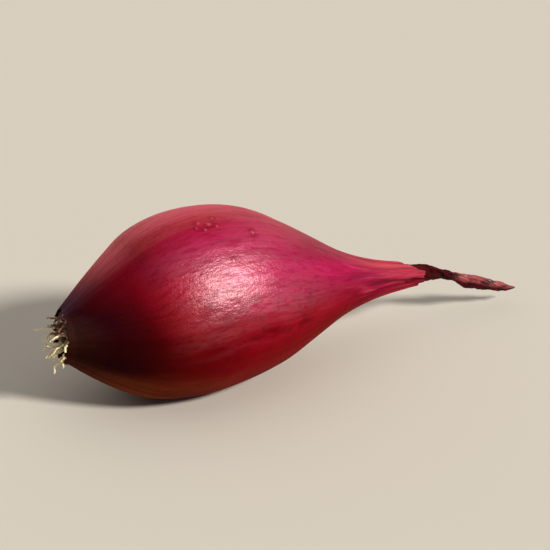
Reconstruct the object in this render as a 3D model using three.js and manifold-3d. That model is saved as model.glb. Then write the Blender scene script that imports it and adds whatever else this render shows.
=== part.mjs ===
// A small torpedo-shaped red onion lying on its side.
//
// Units are millimetres and +Z is up. The origin is the centre of the small flat spot
// that the bulb rests on. The bulb's own axis runs along X, with the root end towards
// -X and the neck and its dried leaf tail towards +X.

import * as THREE from 'three';
import Module from 'manifold-3d';
import { mergeVertices } from 'three/addons/utils/BufferGeometryUtils.js';

// ---------------------------------------------------------------- driving dimensions

// Fit between pieces that touch
const PIECE_GAP = 0.3;

// The bulb's axis: it sags a little at both ends and dips along the neck
const AXIS_POINTS = [
  [-24, 15.25],
  [-10.5, 15.15],
  [3.5, 16.55],
  [17.5, 14.85],
  [30.5, 13.25],
  [41.5, 11.85],
  [51.5, 10.65],
];

// The bulb's outline: [distance along the axis from the root rim, radius]
const BULB_OUTLINE = [
  [0, 5.1],
  [7, 10.5],
  [14, 14.7],
  [21, 16.7],
  [28, 16.9],
  [35, 15.8],
  [42, 13.2],
  [49, 9.6],
  [56, 6],
  [63, 3.7],
  [70, 2.5],
  [73.5, 2.1],
];
const BULB_SIDES = 44;
const BULB_OUTLINE_STEPS = 44;

// Dry leaf bases press the neck flatter than it is wide
const NECK_FLATTEN_START = 46;
const NECK_FLATTEN_END = 70;
const NECK_WIDTH_SCALE = 1.1;
const NECK_HEIGHT_SCALE = 0.95;

// The hollow at the root end that the root plate grows in
const ROOT_RIM_THICKNESS = 0.6;
const ROOT_HOLLOW_DEPTH = 1.6;

// The rim of dead skin stands further out on the side at this angle, turned from +Y over the top
const RIM_SLANT = 1.8;
const RIM_SLANT_ANGLE = 205;
const RIM_SLANT_FADE = 1.5;

// The mouth at the end of the neck that the dried tail comes out of
const MOUTH_RADIUS = 1.5;
const MOUTH_DEPTH = 2.6;

// The root plate: a low dome with a blunt edge
const PLATE_EDGE_HEIGHT = 1.0;
const PLATE_CROWN = 1.2;
const PLATE_SIDES = 28;

// The dried leaf tail: [x, y, z, half width, half thickness, twist in degrees]
const TAIL_STATIONS = [
  [47, 0, 11.2, 0.9, 0.65, 55],
  [49, 0, 10.95, 1.15, 0.75, 62],
  [50.5, 0, 10.6, 1.55, 0.75, 95],
  [52.2, 0, 10.2, 1.4, 0.65, 118],
  [53.4, 0, 9.95, 1.3, 0.65, 128],
  [54.5, 0, 9.4, 1.2, 0.7, 145],
  [55.5, 0, 8.75, 1.15, 0.8, 160],
  [56.7, 0, 7.95, 1.2, 0.75, 185],
  [58, 0, 7.45, 1.25, 0.75, 205],
  [59.5, 0, 7.05, 1.3, 0.7, 225],
  [62, -0.2, 6.05, 1.15, 0.65, 245],
  [65, -0.4, 4.75, 1.0, 0.55, 268],
  [68, -0.5, 3.65, 0.75, 0.45, 292],
  [70.5, -0.2, 3.05, 0.3, 0.25, 320],
];
const TAIL_SIDES = 14;
const TAIL_STEPS = 40;

// The dried roots stand on the plate in rings. Each ring gives how many roots it has,
// its distance from the plate's centre, how far its roots lean outwards in degrees, and
// the length of its longest root.
const ROOT_RINGS = [
  { count: 3, distance: 0.9, lean: 8, length: 4.6 },
  { count: 8, distance: 2.2, lean: 12, length: 4.7 },
  { count: 13, distance: 3.4, lean: 16, length: 4.6 },
];
const ROOT_BASE_RADIUS = 0.3;
const ROOT_TIP_RADIUS = 0.14;
const ROOT_SHORTEST_SHARE = 0.55;
const ROOT_DROOP_SHARE = 0.3;
const ROOT_CURL_SHARE = 0.16;
const ROOT_SIDES = 6;
const ROOT_STEPS = 6;

// ---------------------------------------------------------------------- materials

const finishes = {
  skin: { color: 0x8e1a35, roughness: 0.42, metalness: 0 },
  dryTail: { color: 0x4a0d14, roughness: 0.7, metalness: 0 },
  plate: { color: 0x7b4a3c, roughness: 0.9, metalness: 0 },
  root: { color: 0xd8b982, roughness: 0.85, metalness: 0 },
};

function piece(name, geometry, finish) {
  geometry.computeVertexNormals();
  const mesh = new THREE.Mesh(geometry, new THREE.MeshStandardMaterial(finish));
  mesh.name = name;
  return mesh;
}

// ----------------------------------------------------------------- shared helpers

// A repeatable number from 0 to 1 for item n, so that no two roots are alike
function vary(n, salt) {
  const wave = Math.sin(n * 12.9898 + salt * 78.233) * 43758.5453;
  return wave - Math.floor(wave);
}

// The two directions across a curve at a tangent: one level, one as upright as it can be
function crossDirections(tangent) {
  const up = new THREE.Vector3(0, 0, 1);
  const across = new THREE.Vector3().crossVectors(up, tangent).normalize();
  const above = new THREE.Vector3().crossVectors(tangent, across).normalize();
  return { across, above };
}

// Moves every vertex of a round body that stands on the Y axis. place(station, side, rise)
// gets the vertex's height along Y and its two offsets across it, and gives its new place.
function reshape(geometry, place) {
  const positions = geometry.attributes.position;
  for (let i = 0; i < positions.count; i += 1) {
    const spot = place(positions.getY(i), positions.getZ(i), positions.getX(i));
    positions.setXYZ(i, spot.x, spot.y, spot.z);
  }
  return geometry;
}

// One watertight shell: vertices that share a place are joined
function weld(geometry) {
  geometry.deleteAttribute('normal');
  geometry.deleteAttribute('uv');
  return mergeVertices(geometry, 1e-4);
}

// ------------------------------------------------------------------------ the bulb

const bulbAxis = new THREE.CatmullRomCurve3(
  AXIS_POINTS.map(([x, z]) => new THREE.Vector3(x, 0, z)),
);
const axisLength = bulbAxis.getLength();
const bulbLength = BULB_OUTLINE[BULB_OUTLINE.length - 1][0];
const rootRimRadius = BULB_OUTLINE[0][1];
const hollowRadius = rootRimRadius - ROOT_RIM_THICKNESS;

// The place and the cross directions at a distance along the bulb's axis
function axisFrame(distance) {
  const share = THREE.MathUtils.clamp(distance / axisLength, 0, 1);
  const centre = bulbAxis.getPointAt(share);
  const tangent = bulbAxis.getTangentAt(share);
  return { centre, tangent, ...crossDirections(tangent) };
}

// A lathe profile from the floor of the root hollow, over the outside, to the mouth's floor
function bulbProfile() {
  const outline = new THREE.SplineCurve(
    BULB_OUTLINE.map(([distance, radius]) => new THREE.Vector2(radius, distance)),
  ).getPoints(BULB_OUTLINE_STEPS);
  return [
    new THREE.Vector2(0, ROOT_HOLLOW_DEPTH),
    new THREE.Vector2(hollowRadius, ROOT_HOLLOW_DEPTH),
    new THREE.Vector2(hollowRadius, 0),
    ...outline,
    new THREE.Vector2(MOUTH_RADIUS, bulbLength),
    new THREE.Vector2(MOUTH_RADIUS, bulbLength - MOUTH_DEPTH),
    new THREE.Vector2(0, bulbLength - MOUTH_DEPTH),
  ];
}

// How much further out the rim stands at an angle round it; nothing away from the rim
function rimSlant(distance, side, rise) {
  const turned = Math.atan2(rise, side) - THREE.MathUtils.degToRad(RIM_SLANT_ANGLE);
  const atRim = 1 - THREE.MathUtils.smoothstep(distance, 0, RIM_SLANT_FADE);
  return RIM_SLANT * atRim * (0.5 + 0.5 * Math.cos(turned));
}

function bendOntoAxis(geometry) {
  return reshape(geometry, (distance, side, rise) => {
    const { centre, tangent, across, above } = axisFrame(distance);
    const flat = THREE.MathUtils.smoothstep(distance, NECK_FLATTEN_START, NECK_FLATTEN_END);
    const width = THREE.MathUtils.lerp(1, NECK_WIDTH_SCALE, flat);
    const height = THREE.MathUtils.lerp(1, NECK_HEIGHT_SCALE, flat);
    return centre
      .addScaledVector(tangent, -rimSlant(distance, side, rise))
      .addScaledVector(across, side * width)
      .addScaledVector(above, rise * height);
  });
}

// Cuts away whatever lies below the surface that the onion rests on
async function cutRestSpot(geometry) {
  const wasm = await Module();
  wasm.setup();
  const solid = (shape) => {
    const welded = weld(shape);
    return new wasm.Manifold(new wasm.Mesh({
      numProp: 3,
      vertProperties: new Float32Array(welded.attributes.position.array),
      triVerts: new Uint32Array(welded.index.array),
    }));
  };
  const slabDepth = 10;
  const slab = new THREE.BoxGeometry(60, 60, slabDepth).translate(0, 0, -slabDepth / 2);
  const cut = solid(geometry).subtract(solid(slab)).getMesh();
  const result = new THREE.BufferGeometry();
  result.setAttribute('position', new THREE.BufferAttribute(cut.vertProperties, 3));
  result.setIndex(new THREE.BufferAttribute(cut.triVerts, 1));
  return result;
}

async function makeBulb() {
  const lathe = new THREE.LatheGeometry(bulbProfile(), BULB_SIDES);
  return piece('bulb', await cutRestSpot(bendOntoAxis(lathe)), finishes.skin);
}

// ------------------------------------------------------------------ the root plate

const plateRadius = hollowRadius - PIECE_GAP;
const plateBack = ROOT_HOLLOW_DEPTH - PIECE_GAP;
const plateEdge = plateBack - PLATE_EDGE_HEIGHT;

// How far along the axis the plate's domed face lies, at a distance from its centre
function plateFace(radius) {
  return plateEdge - PLATE_CROWN * (1 - (radius / plateRadius) ** 2);
}

// The plate and the roots lie on the straight line that carries the axis on past the rim
function rootSpot(distance, side, rise) {
  const { centre, tangent, across, above } = axisFrame(0);
  return centre
    .addScaledVector(tangent, distance)
    .addScaledVector(across, side)
    .addScaledVector(above, rise);
}

function makeRootPlate() {
  const dome = [0, 0.25, 0.5, 0.7, 0.85, 1].map(
    (share) => new THREE.Vector2(share * plateRadius, plateFace(share * plateRadius)),
  );
  const profile = [
    ...dome,
    new THREE.Vector2(plateRadius, plateBack),
    new THREE.Vector2(0, plateBack),
  ];
  const lathe = new THREE.LatheGeometry(profile, PLATE_SIDES);
  return piece('root_plate', reshape(lathe, rootSpot), finishes.plate);
}

// ------------------------------------------------------------- strands and the tail

// A closed tapering body along a curve. section(share) gives half width, half thickness
// and twist at that share of the curve's length.
function strand(curve, sides, steps, section) {
  const drum = new THREE.CylinderGeometry(1, 1, 1, sides, steps);
  return reshape(drum, (height, side, rise) => {
    const share = THREE.MathUtils.clamp(height + 0.5, 0, 1);
    const { across, above } = crossDirections(curve.getTangentAt(share));
    const { width, thickness, twist } = section(share);
    const wide = side * width;
    const thick = rise * thickness;
    const u = wide * Math.cos(twist) - thick * Math.sin(twist);
    const v = wide * Math.sin(twist) + thick * Math.cos(twist);
    return curve.getPointAt(share).addScaledVector(across, u).addScaledVector(above, v);
  });
}

function makeTail() {
  const curve = new THREE.CatmullRomCurve3(
    TAIL_STATIONS.map(([x, y, z]) => new THREE.Vector3(x, y, z)),
  );
  const sizes = new THREE.CatmullRomCurve3(
    TAIL_STATIONS.map(([, , , width, thickness, turn]) => (
      new THREE.Vector3(width, thickness, THREE.MathUtils.degToRad(turn))
    )),
    false,
    'catmullrom',
  );
  const geometry = strand(curve, TAIL_SIDES, TAIL_STEPS, (share) => {
    const size = sizes.getPoint(curve.getUtoTmapping(share));
    return { width: size.x, thickness: size.y, twist: size.z };
  });
  return piece('dried_leaf_tail', geometry, finishes.dryTail);
}

// ------------------------------------------------------------------------ the roots

// One dried root: it leaves the plate at an angle, droops and curls sideways
function makeRoot(name, number, ring, turn) {
  const base = new THREE.Vector2(Math.cos(turn), Math.sin(turn)).multiplyScalar(ring.distance);
  const lean = THREE.MathUtils.degToRad(ring.lean * (0.7 + 0.6 * vary(number, 1)));
  const length = ring.length * THREE.MathUtils.lerp(ROOT_SHORTEST_SHARE, 1, vary(number, 2));
  const droop = length * ROOT_DROOP_SHARE;
  const curl = length * ROOT_CURL_SHARE * (2 * vary(number, 3) - 1);
  const start = plateFace(ring.distance) - PIECE_GAP - ROOT_BASE_RADIUS * Math.sin(lean);
  const points = [0, 0.35, 0.7, 1].map((share) => {
    const outward = Math.sin(lean) * length * share;
    const sideways = curl * Math.sin(Math.PI * share);
    const side = base.x + outward * Math.cos(turn) - sideways * Math.sin(turn);
    const rise = base.y + outward * Math.sin(turn) + sideways * Math.cos(turn);
    return rootSpot(start - Math.cos(lean) * length * share, side, rise - droop * share * share);
  });
  const geometry = strand(new THREE.CatmullRomCurve3(points), ROOT_SIDES, ROOT_STEPS, (share) => {
    const radius = THREE.MathUtils.lerp(ROOT_BASE_RADIUS, ROOT_TIP_RADIUS, share);
    return { width: radius, thickness: radius, twist: 0 };
  });
  return piece(name, geometry, finishes.root);
}

function makeRoots() {
  const roots = [];
  for (const ring of ROOT_RINGS) {
    for (let i = 0; i < ring.count; i += 1) {
      const number = roots.length + 1;
      const turn = (2 * Math.PI * (i + 0.5 * vary(number, 4))) / ring.count;
      roots.push(makeRoot(`root_${String(number).padStart(2, '0')}`, number, ring, turn));
    }
  }
  return roots;
}

// ------------------------------------------------------------------------ the onion

const onion = new THREE.Group();
onion.add(await makeBulb(), makeRootPlate(), makeTail(), ...makeRoots());

export default onion;
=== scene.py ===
"""A small torpedo-shaped red onion lying on its side.

The bulb with its neck, the root plate, the dried leaf tail and each dried root are modelled here
as fine meshes. Their outlines are measured on the solids of the frame, so that every piece lies
where its solid does. Lengths are in metres.
"""
import math

import bpy
import numpy as np
from bpy.props import FloatProperty, FloatVectorProperty, IntProperty, PointerProperty
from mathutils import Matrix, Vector, noise


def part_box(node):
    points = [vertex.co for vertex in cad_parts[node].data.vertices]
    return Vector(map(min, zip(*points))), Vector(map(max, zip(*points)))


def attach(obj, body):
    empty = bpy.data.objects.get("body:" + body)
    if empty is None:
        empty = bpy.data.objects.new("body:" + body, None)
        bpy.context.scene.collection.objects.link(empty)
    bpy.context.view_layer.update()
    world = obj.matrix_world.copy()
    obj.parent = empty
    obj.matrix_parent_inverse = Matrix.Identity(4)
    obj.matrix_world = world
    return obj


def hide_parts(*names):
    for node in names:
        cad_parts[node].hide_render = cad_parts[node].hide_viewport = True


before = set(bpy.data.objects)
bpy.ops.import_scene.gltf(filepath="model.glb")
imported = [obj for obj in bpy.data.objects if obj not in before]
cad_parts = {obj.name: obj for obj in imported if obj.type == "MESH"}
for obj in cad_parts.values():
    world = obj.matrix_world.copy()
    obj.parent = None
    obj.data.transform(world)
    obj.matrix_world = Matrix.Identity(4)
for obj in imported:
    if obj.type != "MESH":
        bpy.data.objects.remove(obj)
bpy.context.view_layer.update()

bl_info = {
    "name": "Red Onion",
    "version": (1, 0, 0),
    "blender": (4, 5, 0),
    "location": "3D View > Sidebar > Onion",
    "description": "Models a small red onion with a root plate, dried roots and a dried leaf tail",
    "category": "Add Mesh",
}

MM = 0.001
BODY = "root"

BULB = "bulb"
PLATE = "root_plate"
TAIL = "dried_leaf_tail"
ROOTS = sorted(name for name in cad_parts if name.startswith("root_") and name != PLATE)


# The bulb's axis: x and z of points along it, in millimetres
AXIS_POINTS = (
    (-24, 15.25), (-10.5, 15.15), (3.5, 16.55), (17.5, 14.85),
    (30.5, 13.25), (41.5, 11.85), (51.5, 10.65),
)

# The bulb's outline: distance along the axis from the root rim, and radius, in millimetres
BULB_OUTLINE = (
    (0, 5.1), (7, 10.5), (14, 14.7), (21, 16.7), (28, 16.9), (35, 15.8),
    (42, 13.2), (49, 9.6), (56, 6), (63, 3.7), (70, 2.5), (73.5, 2.1),
)

# The dried tail fills the neck from this distance along the bulb
TAIL_START = 65 * MM

# The tail's section: place along X, half width, half thickness in millimetres, and twist in degrees
TAIL_PROFILE = (
    (41, 2.3, 2.0, 0), (45, 2.2, 1.9, 20), (47.9, 1.8, 1.3, 52), (49.4, 1.75, 0.9, 66),
    (50.5, 1.55, 0.75, 95), (52.1, 1.4, 0.65, 118), (53.4, 1.3, 0.65, 128), (54.5, 1.2, 0.7, 145),
    (55.5, 1.15, 0.8, 160), (56.7, 1.2, 0.75, 185), (58, 1.25, 0.75, 205), (59.5, 1.3, 0.7, 225),
    (62, 1.15, 0.65, 245), (65, 1.0, 0.55, 268), (68, 0.75, 0.45, 292), (70.5, 0.12, 0.1, 320),
)

# Sharp pleats along the tail: how many, drift along it, start, and depth
TAIL_PLEATS = ((5, 0.05, 0.4, 0.6), (8, -0.07, 2.0, 0.5), (17, 0.1, 4.1, 0.3))

# The rim of dead skin round the roots stands further out on one side, and closes in as it does
RIM_SLANT = 1.8 * MM
RIM_SLANT_ANGLE = math.radians(205)
RIM_CLOSING = 0.35

# The neck is pressed flatter than it is wide
NECK_FLATTEN_START = 46 * MM
NECK_FLATTEN_END = 70 * MM
NECK_WIDTH_SCALE = 1.1
NECK_HEIGHT_SCALE = 0.95


# --------------------------------------------------------------------------- settings


def colour(name, description, default):
    """A colour setting, in linear values."""
    return FloatVectorProperty(
        name=name, description=description, subtype="COLOR", size=3, min=0, max=1, default=default
    )


def length(name, description, millimetres):
    """A length setting, shown in the scene's units."""
    return FloatProperty(
        name=name, description=description, unit="LENGTH", min=0, precision=5, default=millimetres * MM
    )


def share(name, description, default):
    """A setting from none to full."""
    return FloatProperty(
        name=name, description=description, subtype="FACTOR", min=0, max=1, default=default
    )


def angle(name, description, degrees):
    """An angle setting."""
    return FloatProperty(
        name=name, description=description, subtype="ANGLE", default=math.radians(degrees)
    )


class OnionSkinSettings(bpy.types.PropertyGroup):
    """The bulb's skin."""

    body_colour: colour("Body", "Crimson of the bulb's flank", (0.445, 0.004, 0.072))
    deep_colour: colour("Deep", "Dark red between the root end and the flank", (0.315, 0.002, 0.032))
    wine_colour: colour("Wine", "Wine red just short of the dark red", (0.21, 0.002, 0.011))
    maroon_colour: colour("Maroon", "Dark maroon just past the near-black", (0.085, 0.002, 0.004))
    root_colour: colour("Root end", "Near-black of the skin by the roots", (0.031, 0.002, 0.004))
    rim_colour: colour("Rim", "Dark brown of the dead skin round the root plate", (0.040, 0.013, 0.010))
    # A painted reflection of the sky on the dark skin at the roots
    painted_sky_reflection_colour: colour("Frost", "Brownish grey bloom above the roots", (0.062, 0.037, 0.064))
    neck_colour: colour("Neck", "Pink-crimson of the neck", (0.62, 0.042, 0.090))
    # Partly dried skin, partly a painted sheen of the sky along the top edge
    brown_colour: colour("Brown", "Dusty brownish pink where the skin has dried", (1.0, 0.22, 0.24))
    # A painted reflection of a warm floor, not a colour of the skin
    painted_floor_reflection_colour: colour("Tan", "Red-brown of the dry skin under the roots", (0.17, 0.036, 0.006))
    # Painted shade in the neck's folds
    fold_shade_colour: colour("Fold", "Dark red in the folds of the neck", (0.12, 0.004, 0.012))
    # A painted highlight on the neck's wrinkles
    ridge_highlight_colour: colour("Ridge", "Pale pink of the wrinkles on the neck", (0.80, 0.08, 0.15))
    blister_colour: colour("Blister", "Pale pink of the tiny blisters", (0.88, 0.13, 0.20))
    vein_height: length("Vein height", "How far the long veins stand up", 0.0175)
    lump_height: length("Lump height", "How uneven the bulb's outline is", 0.06)
    pleat_depth: length("Pleat depth", "How deep the neck's pleats are", 0.12)
    pucker_depth: length("Pucker depth", "How deep the skin is gathered at the roots", 0.08)
    fold_step: length("Fold step", "How far one skin overlaps the next along the neck", 0.3)
    grain_height: length("Grain height", "How deep the skin's fine grain is", 0.15)
    roughness: share("Roughness", "How dull the skin under the wax is", 0.46)
    dry_roughness: share("Dry roughness", "How dull the dry skin without wax is", 0.8)
    dry_gloss: share("Dry gloss", "How much the skin without wax shines", 0.08)
    wax: share("Wax", "How much wax is on the flank", 1.0)
    sheen_colour: colour("Sheen tint", "Tint of the skin's own gloss", (1.0, 0.10, 0.36))
    sheen: share("Sheen", "How far the skin's own gloss takes on its colour", 0.27)
    wax_roughness: share("Wax roughness", "How dull the wax on the skin is", 0.355)
    wax_index: FloatProperty(name="Wax index", description="How strongly the wax bends light", default=1.84)
    bloom_colour: colour("Bloom", "Tint of the dry bloom seen along the skin", (1.0, 0.40, 0.20))
    bloom: share("Bloom share", "How much dry bloom is on the skin", 0.03)
    bloom_roughness: share("Bloom roughness", "How widely the bloom spreads", 0.4)
    sides: IntProperty(name="Sides", description="Faces round the bulb", min=24, max=400, default=264)
    rows: IntProperty(name="Rows", description="Faces along the bulb", min=24, max=600, default=330)


class OnionTailSettings(bpy.types.PropertyGroup):
    """The dried leaf tail."""

    dark_colour: colour("Dark", "Black-maroon of the thick end", (0.060, 0.0015, 0.003))
    # Put on the top of the thin end only, as painted light from above
    light_colour: colour("Light", "Pinkish brown of the thin end", (0.34, 0.060, 0.062))
    # Painted shade in the tail's folds
    fold_shade_colour: colour("Fold", "Near black in the folds", (0.010, 0.001, 0.002))
    gloss: share("Gloss", "How glossy the pale part is", 0.5)
    crumple: length("Crumple", "How deep the leaf is crumpled", 0.26)
    curl: length("Curl", "How far the leaf curls into a trough", 0.45)


class OnionRootSettings(bpy.types.PropertyGroup):
    """The root plate and the dried roots."""

    straw_colour: colour("Straw", "Pale straw of most roots", (0.95, 0.82, 0.50))
    brown_colour: colour("Brown", "Brown of the other roots", (0.24, 0.11, 0.05))
    plate_colour: colour("Plate", "Pinkish brown of the root plate", (0.55, 0.21, 0.19))
    plate_dark_colour: colour("Plate pits", "Dark brown between its lumps", (0.035, 0.014, 0.010))
    speck_colour: colour("Plate specks", "Near-black of the specks on it", (0.02, 0.008, 0.006))
    lump_height: length("Lump height", "How lumpy the root plate is", 0.3)
    kink: length("Kink", "How far a root strays from its line", 0.28)
    hook: length("Hook", "How far a root's tip hooks over", 1.0)
    shortest: share("Shortest", "How short the shortest root has dried", 0.6)


class OnionStageSettings(bpy.types.PropertyGroup):
    """The floor, the lights and the camera."""

    floor_colour: colour("Floor", "Pale floor", (0.70, 0.65, 0.57))
    key_strength: FloatProperty(name="Key", description="Strength of the key light", min=0, default=3.3)
    key_spread: angle("Key spread", "How wide, and so how soft, the key light is", 10)
    key_azimuth: angle("Key azimuth", "Where the key light stands, turned from the front", 28)
    key_elevation: angle("Key elevation", "How high the key light stands", 35)
    fill_strength: FloatProperty(name="Fill", description="Strength of the light above", min=0, default=0.95)
    fill_spread: angle("Fill spread", "How wide, and so how soft, the light above is", 120)
    fill_azimuth: angle("Fill azimuth", "Where the light above stands, turned from the front", 172)
    fill_elevation: angle("Fill elevation", "How high the light above stands", 62)
    sky_strength: FloatProperty(name="Sky", description="Strength of the even light", min=0, default=0.12)
    azimuth: angle("Azimuth", "Where the camera stands, turned from the front", -26)
    elevation: angle("Elevation", "How high the camera stands", 27)
    distance: length("Distance", "From the camera to the onion", 550)
    view_width: length("View width", "Width of the view at the onion", 100)
    aim_right: length("Aim right", "How far to the right of the bulb's belly the camera looks", 14.8)
    aim_up: length("Aim up", "How far above the bulb's belly the camera looks", 4.9)


# ------------------------------------------------------------------ measuring the frame


def node_points(name):
    """Every corner of a solid of the frame, one row of x, y, z each."""
    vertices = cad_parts[name].data.vertices
    points = np.empty(len(vertices) * 3)
    vertices.foreach_get("co", points)
    return points.reshape(-1, 3)


def smoothed(values, reach):
    """Values with a bell-shaped average over reach places, with straight ends carried on."""
    steps = np.arange(1, 3 * reach + 1)
    before = values[0] - (values[1] - values[0]) * steps[::-1]
    after = values[-1] + (values[-1] - values[-2]) * steps
    padded = np.concatenate([before, values, after])
    offsets = np.arange(-3 * reach, 3 * reach + 1)
    weights = np.exp(-0.5 * (offsets / reach) ** 2)
    return np.convolve(padded, weights / weights.sum(), mode="valid")


def smooth_curve(points, count):
    """Points on a smooth curve that runs through the given ones."""
    points = np.array(points, float)
    padded = np.concatenate([points[:1], points, points[-1:]])
    places = np.linspace(0, len(points) - 1, count)
    piece = np.minimum(places.astype(int), len(points) - 2)
    t = (places - piece)[:, None]
    a, b, c, d = (padded[piece + i] for i in range(4))
    return b + t / 2 * (c - a + t * (2 * a - 5 * b + 4 * c - d + t * (3 * (b - c) + d - a)))


class BulbOutline:
    """The bulb's axis and its width and height along it."""

    COUNT = 600
    REACH = 6

    def __init__(self):
        x, z = smooth_curve(AXIS_POINTS, self.COUNT).T * MM
        reached = np.concatenate([[0], np.cumsum(np.hypot(np.diff(x), np.diff(z)))])
        distances, radii = smooth_curve(BULB_OUTLINE, self.COUNT).T * MM
        self.length = distances[-1]
        self.along = np.linspace(0, self.length, self.COUNT)
        self.x = np.interp(self.along, reached, x)
        self.z = smoothed(np.interp(self.along, reached, z), self.REACH)
        self.tilt = np.arctan(np.gradient(self.z, self.x))
        radius = smoothed(np.interp(self.along, distances, radii), self.REACH)
        flat = fade(self.along, NECK_FLATTEN_START, NECK_FLATTEN_END)
        self.half_width = radius * (1 + (NECK_WIDTH_SCALE - 1) * flat)
        self.half_height = radius * (1 + (NECK_HEIGHT_SCALE - 1) * flat)

    def at(self, along):
        """Centre x and z, half width, half height and tilt of the axis at distances along it."""
        inside = np.clip(along, 0, self.length)
        beyond = along - inside
        columns = (self.x, self.z, self.half_width, self.half_height, self.tilt)
        x, z, wide, high, tilt = (np.interp(inside, self.along, column) for column in columns)
        return x + beyond * np.cos(tilt), z + beyond * np.sin(tilt), wide, high, tilt

    def place(self, along, around, outward, scale=1.0):
        """Points at a distance along the axis and an angle round it, outward metres off the skin."""
        x, z, wide, high, tilt = self.at(along)
        side = (wide * scale + outward) * np.cos(around)
        rise = (high * scale + outward) * np.sin(around)
        return np.stack([x - rise * np.sin(tilt), side, z + rise * np.cos(tilt)], axis=-1)


def centre_line(name, parts):
    """The middle line of a long thin solid, from its end nearest the bulb's middle."""
    points = np.unique(np.round(node_points(name) / MM, 4), axis=0) * MM
    middle = np.array([0.0, 0.0, points[:, 2].mean()])
    spread = points - points.mean(axis=0)
    direction = np.linalg.svd(spread, full_matrices=False)[2][0]
    far_end = points[np.argmax(np.linalg.norm(points - middle, axis=1))]
    if (far_end - points.mean(axis=0)) @ direction < 0:
        direction = -direction
    order = np.argsort(spread @ direction)
    return np.array([points[group].mean(axis=0) for group in np.array_split(order, parts)])


def spread_along(line, count):
    """A line of points made into count points, evenly spaced, on a smooth curve through it."""
    runs = np.linalg.norm(np.diff(line, axis=0), axis=1)
    reached = np.concatenate([[0], np.cumsum(runs)])
    fine = np.linspace(0, reached[-1], 8 * count)
    reach = max(1, len(fine) // (3 * len(line)))
    smooth = [smoothed(np.interp(fine, reached, line[:, axis]), reach) for axis in range(3)]
    wanted = np.linspace(0, reached[-1], count)
    return np.stack([np.interp(wanted, fine, column) for column in smooth], axis=-1)


# ------------------------------------------------------------------------ mesh helpers


def wavy(around, along, waves, drift, seed):
    """A repeatable field of about -1 to 1 with whole waves round the bulb that drift along it."""
    dice = np.random.default_rng(seed)
    total = np.zeros(np.broadcast(around, along).shape)
    for count in waves:
        phase = dice.uniform(0, 2 * math.pi)
        turn = dice.normal(0, drift)
        total += np.cos(count * around + phase + turn * along)
    return total / math.sqrt(len(waves))


def fade(values, start, end):
    """A smooth step from 0 at start to 1 at end. End may be the lower of the two."""
    step = np.clip((values - start) / (end - start), 0, 1)
    return step * step * (3 - 2 * step)


def skinned(name, rings):
    """A closed mesh over rings of points, an array of rings by sides by 3, with both ends capped."""
    count, sides = rings.shape[:2]
    near, far = rings[0].mean(axis=0), rings[-1].mean(axis=0)
    points = np.concatenate([rings.reshape(-1, 3), [near, far]])
    faces = []
    for row in range(count - 1):
        here = row * sides
        for side in range(sides):
            after = (side + 1) % sides
            faces.append((here + side, here + after, here + sides + after, here + sides + side))
    last = (count - 1) * sides
    for side in range(sides):
        after = (side + 1) % sides
        faces.append((count * sides, after, side))
        faces.append((count * sides + 1, last + side, last + after))
    mesh = bpy.data.meshes.new(name)
    mesh.from_pydata(points.tolist(), [], faces)
    mesh.validate()
    mesh.polygons.foreach_set("use_smooth", [True] * len(mesh.polygons))
    return mesh


def store(mesh, name, values):
    """Stores a number or a vector for each point of a skinned mesh, for its material to read."""
    values = np.asarray(values, dtype=np.float32)
    # The middles of the two caps come last
    with_caps = np.concatenate([values, [values[0], values[-1]]])
    kind, field = ("FLOAT", "value") if values.ndim == 1 else ("FLOAT_VECTOR", "vector")
    mesh.attributes.new(name, kind, "POINT").data.foreach_set(field, with_caps.ravel())


def finish_piece(name, mesh, material, nodes):
    """Adds a mesh to the scene as a piece that stands for solids of the frame."""
    mesh.materials.append(material)
    piece = bpy.data.objects.new(name, mesh)
    bpy.context.scene.collection.objects.link(piece)
    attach(piece, BODY)
    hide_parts(*nodes)
    return piece


# -------------------------------------------------------------------- material helpers


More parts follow.
